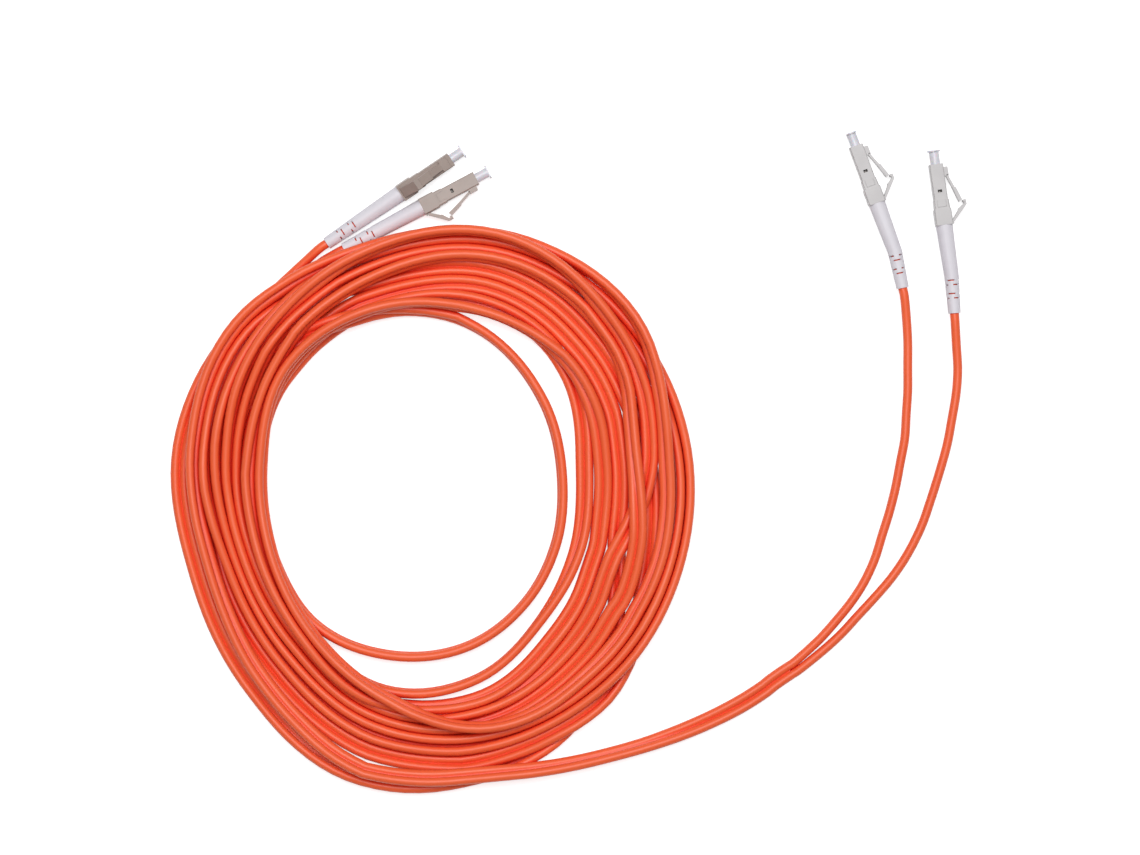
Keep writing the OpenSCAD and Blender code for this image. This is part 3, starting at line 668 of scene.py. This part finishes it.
def moulded_grain():
    """Fine unevenness of plastic: a height for a Bump node and a change in roughness."""
    group, into, out = group_shell(
        "moulded_grain",
        [("Vector", "NodeSocketVector", None), ("Scale", "NodeSocketFloat", 3000.0),
         ("Roughness", "NodeSocketFloat", 0.4), ("Spread", "NodeSocketFloat", 0.08)],
        [("Height", "NodeSocketFloat"), ("Roughness", "NodeSocketFloat")],
    )
    nodes, links = group.nodes, group.links
    fine = nodes.new("ShaderNodeTexNoise")
    fine.inputs["Detail"].default_value = 3
    broad = nodes.new("ShaderNodeTexNoise")
    broad.inputs["Detail"].default_value = 2
    slower = nodes.new("ShaderNodeMath")
    slower.operation = "MULTIPLY"
    slower.inputs[1].default_value = BROAD_SHARE
    centred = nodes.new("ShaderNodeMath")
    centred.operation = "SUBTRACT"
    centred.inputs[1].default_value = 0.5
    changed = nodes.new("ShaderNodeMath")
    changed.operation = "MULTIPLY_ADD"
    links.new(into.outputs["Vector"], fine.inputs["Vector"])
    links.new(into.outputs["Scale"], fine.inputs["Scale"])
    links.new(into.outputs["Vector"], broad.inputs["Vector"])
    links.new(into.outputs["Scale"], slower.inputs[0])
    links.new(slower.outputs[0], broad.inputs["Scale"])
    links.new(broad.outputs["Fac"], centred.inputs[0])
    links.new(centred.outputs[0], changed.inputs[0])
    links.new(into.outputs["Spread"], changed.inputs[1])
    links.new(into.outputs["Roughness"], changed.inputs[2])
    links.new(fine.outputs["Fac"], out.inputs["Height"])
    links.new(changed.outputs[0], out.inputs["Roughness"])
    return group


def drifting_colour():
    """A colour that drifts toward a second one in broad, soft patches."""
    group, into, out = group_shell(
        "drifting_colour",
        [("Vector", "NodeSocketVector", None), ("Scale", "NodeSocketFloat", 60.0),
         ("Colour", "NodeSocketColor", None), ("Other colour", "NodeSocketColor", None)],
        [("Colour", "NodeSocketColor")],
    )
    nodes, links = group.nodes, group.links
    noise = nodes.new("ShaderNodeTexNoise")
    noise.inputs["Detail"].default_value = 4
    spread = nodes.new("ShaderNodeMapRange")
    spread.inputs["From Min"].default_value = DRIFT_FROM
    spread.inputs["From Max"].default_value = DRIFT_TO
    mix = nodes.new("ShaderNodeMix")
    mix.data_type = "RGBA"
    links.new(into.outputs["Vector"], noise.inputs["Vector"])
    links.new(into.outputs["Scale"], noise.inputs["Scale"])
    links.new(noise.outputs["Fac"], spread.inputs["Value"])
    links.new(spread.outputs["Result"], mix.inputs["Factor"])
    links.new(into.outputs["Colour"], mix.inputs["A"])
    links.new(into.outputs["Other colour"], mix.inputs["B"])
    links.new(mix.outputs["Result"], out.inputs["Colour"])
    return group


GRAIN = moulded_grain()
DRIFT = drifting_colour()

# %% [markdown]
# ## Materials
# One function makes every plain plastic, rubber and metal here from its two colours, its roughness
# and the size of its grain. What is the same all over a surface, such as its metalness, is set on
# the shader itself. What changes over the surface comes from the two groups: grain and drift are
# their scales, bump is the depth of the grain in metres, and spread is how far the roughness goes
# up and down.

# %% Material maker
def finish(name, colour, other, roughness, grain=3000, bump=0.00001, drift=60, spread=0.08,
           metallic=0.0, coordinates="Object", specular=0.5, **fixed):
    """A material with a drifting colour and a fine grain."""
    material = bpy.data.materials.new(name)
    material.use_nodes = True
    nodes, links = material.node_tree.nodes, material.node_tree.links
    shader = nodes["Principled BSDF"]
    place = nodes.new("ShaderNodeTexCoord")
    drifting = nodes.new("ShaderNodeGroup")
    drifting.node_tree = DRIFT
    drifting.inputs["Scale"].default_value = drift
    drifting.inputs["Colour"].default_value = (*colour, 1)
    drifting.inputs["Other colour"].default_value = (*other, 1)
    uneven = nodes.new("ShaderNodeGroup")
    uneven.node_tree = GRAIN
    uneven.inputs["Scale"].default_value = grain
    uneven.inputs["Roughness"].default_value = roughness
    uneven.inputs["Spread"].default_value = spread
    bumps = nodes.new("ShaderNodeBump")
    bumps.inputs["Distance"].default_value = bump
    for group in (drifting, uneven):
        links.new(place.outputs[coordinates], group.inputs["Vector"])
    links.new(drifting.outputs["Colour"], shader.inputs["Base Color"])
    links.new(uneven.outputs["Roughness"], shader.inputs["Roughness"])
    links.new(uneven.outputs["Height"], bumps.inputs["Height"])
    links.new(bumps.outputs["Normal"], shader.inputs["Normal"])
    shader.inputs["Metallic"].default_value = metallic
    shader.inputs["Specular IOR Level"].default_value = specular
    for label, value in fixed.items():
        shader.inputs[label.replace("_", " ")].default_value = value
    return material


def dress(node, material):
    """Puts a material on a CAD node's own mesh."""
    slots = NODES[node].data.materials
    slots.clear()
    slots.append(material)


# %% [markdown]
# ## The orange jacket
# The jacket is soft vinyl, extruded over the fiber: a strong orange with a satin skin, a little
# lighter where it was stretched. The pattern follows the cord, so it reads the UV map, whose units
# are metres along and round the cord.
#
# Where two turns touch, the seam between them is painted a deep red. This is painted shade for the
# closed-in gaps between the turns. The Ambient Occlusion node tells how closed in a spot is, so it
# can bring that painted red in.

# %% Jacket
# Painted shade: a deep red that goes into the jacket's colour wherever turns close a spot in.
PAINTED_SEAM_SHADE = (0.80, 0.022, 0.008)
SHADE_REACH = 0.004                  # metres
SHADE_CLOSED, SHADE_OPEN = 0.2, 0.9   # how open a spot is where it is all red, and not red at all
SHADE_SAMPLES = 8


def paint_shade_in_seams(material):
    """Paints shade into the material's colour: a deep red where other turns close it in."""
    nodes, links = material.node_tree.nodes, material.node_tree.links
    base = nodes["Principled BSDF"].inputs["Base Color"]
    plain = base.links[0].from_socket
    closed_in = nodes.new("ShaderNodeAmbientOcclusion")
    closed_in.samples = SHADE_SAMPLES
    closed_in.inputs["Distance"].default_value = SHADE_REACH
    opened = nodes.new("ShaderNodeMapRange")
    opened.inputs["From Min"].default_value = SHADE_CLOSED
    opened.inputs["From Max"].default_value = SHADE_OPEN
    mix = nodes.new("ShaderNodeMix")
    mix.data_type = "RGBA"
    mix.inputs["A"].default_value = (*PAINTED_SEAM_SHADE, 1)
    links.new(closed_in.outputs["AO"], opened.inputs["Value"])
    links.new(opened.outputs["Result"], mix.inputs["Factor"])
    links.new(plain, mix.inputs["B"])
    links.new(mix.outputs["Result"], base)


JACKET = finish("orange_vinyl", (0.95, 0.138, 0.042), (0.92, 0.124, 0.037), roughness=0.40,
                grain=1800, bump=0.00002, drift=25, spread=0.12, coordinates="UV", specular=0.45)
# The jacket gets painted shade, a deep red, in the seams between its turns.
paint_shade_in_seams(JACKET)
# A darker copy of the jacket's vinyl for its end inside the plug: painted shade.
JACKET_SHADED_INSIDE = finish("orange_vinyl_shaded_inside", (0.74, 0.09, 0.035), (0.70, 0.08, 0.03),
                       roughness=0.42, grain=1800, drift=40)
for piece in (duplex, *legs.values()):
    piece.data.materials.append(JACKET)

# %% [markdown]
# ## Plugs, boots and caps
# The bodies are one grey plastic with a satin surface from the mould, in two copies: a darker,
# warmer one at one end of the cord as painted shade, and a paler one at the other as painted light.
# The boots are softer and whiter, and the caps are milky and let a little light in, which the
# shader's subsurface weight gives. The hidden pieces get their real metals and ceramic too, because
# a cap can be pulled off.

# %% Plug materials
# One grey plastic: painted darker and warmer for plugs 1 as painted shade, and paler for plugs 2 as
# painted light.
BODY = {
    "1": finish("grey_plastic_shaded_copy", (0.365, 0.290, 0.255), (0.34, 0.27, 0.237), roughness=0.38,
                grain=2600, drift=150),
    "2": finish("grey_plastic_lit_copy", (0.53, 0.51, 0.512), (0.50, 0.48, 0.483), roughness=0.36,
                grain=2600, drift=150),
}
BOOT = finish("white_rubber", (0.76, 0.735, 0.785), (0.73, 0.70, 0.755), roughness=0.5,
              grain=1500, bump=0.00002, drift=90)
CAP = finish("milky_plastic", (0.73, 0.72, 0.78), (0.68, 0.67, 0.73), roughness=0.3,
             grain=2000, drift=120, Subsurface_Weight=0.15, Subsurface_Scale=0.001)
CERAMIC = finish("ceramic", (0.88, 0.88, 0.85), (0.85, 0.85, 0.82), roughness=0.12, grain=4000)
DARK_STEEL = finish("dark_steel", (0.42, 0.39, 0.37), (0.38, 0.35, 0.33), roughness=0.65,
                    grain=6000, metallic=0.5)
WIRE = finish("spring_wire", (0.5, 0.51, 0.53), (0.44, 0.45, 0.47), roughness=0.22,
              grain=6000, metallic=1.0)
NICKEL = finish("nickel", (0.66, 0.64, 0.58), (0.6, 0.58, 0.53), roughness=0.2,
                grain=5000, metallic=1.0)
BRASS = finish("brass", (0.72, 0.5, 0.2), (0.62, 0.42, 0.16), roughness=0.28,
               grain=5000, metallic=1.0)
BUFFER = finish("white_buffer", (0.82, 0.82, 0.8), (0.78, 0.78, 0.76), roughness=0.4, grain=3000)
YARN = finish("yellow_yarn", (0.72, 0.55, 0.14), (0.6, 0.44, 0.1), roughness=0.75,
              grain=9000, bump=0.0001, spread=0.1)
GLASS = finish("fiber_glass", (0.9, 0.95, 0.97), (0.86, 0.92, 0.95), roughness=0.05,
               grain=3000, Transmission_Weight=0.9)

# %% Dress the CAD nodes
PIECE_FINISHES = {
    "dust_cap": CAP, "ferrule": CERAMIC, "ferrule_holder": DARK_STEEL, "glass_fiber": GLASS,
    "crimp_body": NICKEL, "crimp_sleeve": BRASS, "boot": BOOT, "jacket_end": JACKET_SHADED_INSIDE,
}
for end in ENDS:
    for kind, material in PIECE_FINISHES.items():
        dress(f"{kind}_{end}", material)
    for kind in ("front_housing", "latch_lever", "rear_body", "trigger_lever"):
        dress(f"{kind}_{end}", BODY[end[0]])
    lips[end].data.materials.append(BODY[end[0]])
    springs[end].data.materials.clear()
    springs[end].data.materials.append(WIRE)
dress("buffer_tubes", BUFFER)
dress("aramid_yarns", YARN)

# %% [markdown]
# ## Table and light
# A product like this is pictured on a bright white sweep under large soft lamps. The floor looks
# white to the camera and to reflections, and still takes the cord's shadow. The light on the cord
# itself stays at a plain level. One broad lamp overhead gives each strand a lit crown and a darker
# side, a small lamp beside it softens that, and a faint even sky fills in the rest.

# %% Floor
FLOOR_SIZE = 6.0
FLOOR_GLOW = 0.66
FLOOR_TINT = (0.72, 0.71, 0.72)
BOUNCE_TINT = (0.74, 0.73, 0.74)


def floor_material():
    """White to the camera, with soft shadows, and plain pale to the light that bounces."""
    material = bpy.data.materials.new("white_floor")
    material.use_nodes = True
    nodes, links = material.node_tree.nodes, material.node_tree.links
    nodes.clear()
    out = nodes.new("ShaderNodeOutputMaterial")
    ray = nodes.new("ShaderNodeLightPath")
    seen = nodes.new("ShaderNodeMath")
    seen.operation = "MAXIMUM"
    either = nodes.new("ShaderNodeMath")
    either.operation = "MAXIMUM"
    shaded = nodes.new("ShaderNodeBsdfDiffuse")
    shaded.inputs["Color"].default_value = (*FLOOR_TINT, 1)
    glow = nodes.new("ShaderNodeEmission")
    glow.inputs["Strength"].default_value = FLOOR_GLOW
    plain = nodes.new("ShaderNodeBsdfDiffuse")
    plain.inputs["Color"].default_value = (*BOUNCE_TINT, 1)
    both = nodes.new("ShaderNodeAddShader")
    choose = nodes.new("ShaderNodeMixShader")
    links.new(ray.outputs["Is Camera Ray"], either.inputs[0])
    links.new(ray.outputs["Is Glossy Ray"], either.inputs[1])
    links.new(either.outputs[0], seen.inputs[0])
    links.new(ray.outputs["Is Transmission Ray"], seen.inputs[1])
    links.new(shaded.outputs[0], both.inputs[0])
    links.new(glow.outputs[0], both.inputs[1])
    links.new(seen.outputs[0], choose.inputs[0])
    links.new(plain.outputs[0], choose.inputs[1])
    links.new(both.outputs[0], choose.inputs[2])
    links.new(choose.outputs[0], out.inputs["Surface"])
    return material


floor_shape = bmesh.new()
bmesh.ops.create_grid(floor_shape, x_segments=1, y_segments=1, size=FLOOR_SIZE / 2)
floor = mesh_piece("floor", floor_shape)
floor.data.materials.append(floor_material())

# %% Sky and lamps
SKY_STRENGTH = 0.19
LAMP_AIM = (-0.03, -0.07, 0)
world = bpy.data.worlds.new("studio")
world.use_nodes = True
sky_nodes, sky_links = world.node_tree.nodes, world.node_tree.links
sky = sky_nodes["Background"]
sky.inputs["Color"].default_value = (1, 1, 1, 1)
sky.inputs["Strength"].default_value = SKY_STRENGTH
white = sky_nodes.new("ShaderNodeBackground")
white.inputs["Strength"].default_value = 1
sky_ray = sky_nodes.new("ShaderNodeLightPath")
sky_mix = sky_nodes.new("ShaderNodeMixShader")
sky_links.new(sky_ray.outputs["Is Camera Ray"], sky_mix.inputs[0])
sky_links.new(sky.outputs[0], sky_mix.inputs[1])
sky_links.new(white.outputs[0], sky_mix.inputs[2])
sky_links.new(sky_mix.outputs[0], sky_nodes["World Output"].inputs["Surface"])
bpy.context.scene.world = world


def lamp(name, place, size, power):
    """A square soft lamp that faces the middle of the table."""
    data = bpy.data.lights.new(name, "AREA")
    data.size = size
    data.energy = power
    made = place_in_scene(name, data)
    made.location = place
    made.rotation_euler = (Vector(LAMP_AIM) - Vector(place)).to_track_quat("-Z", "Y").to_euler()


lamp("overhead_lamp", (-0.08, 0.32, 1.6), size=1.0, power=20.5)
lamp("side_lamp", (0.5, 0.5, 1.3), size=0.8, power=2.5)

bpy.context.scene.view_settings.view_transform = "Standard"
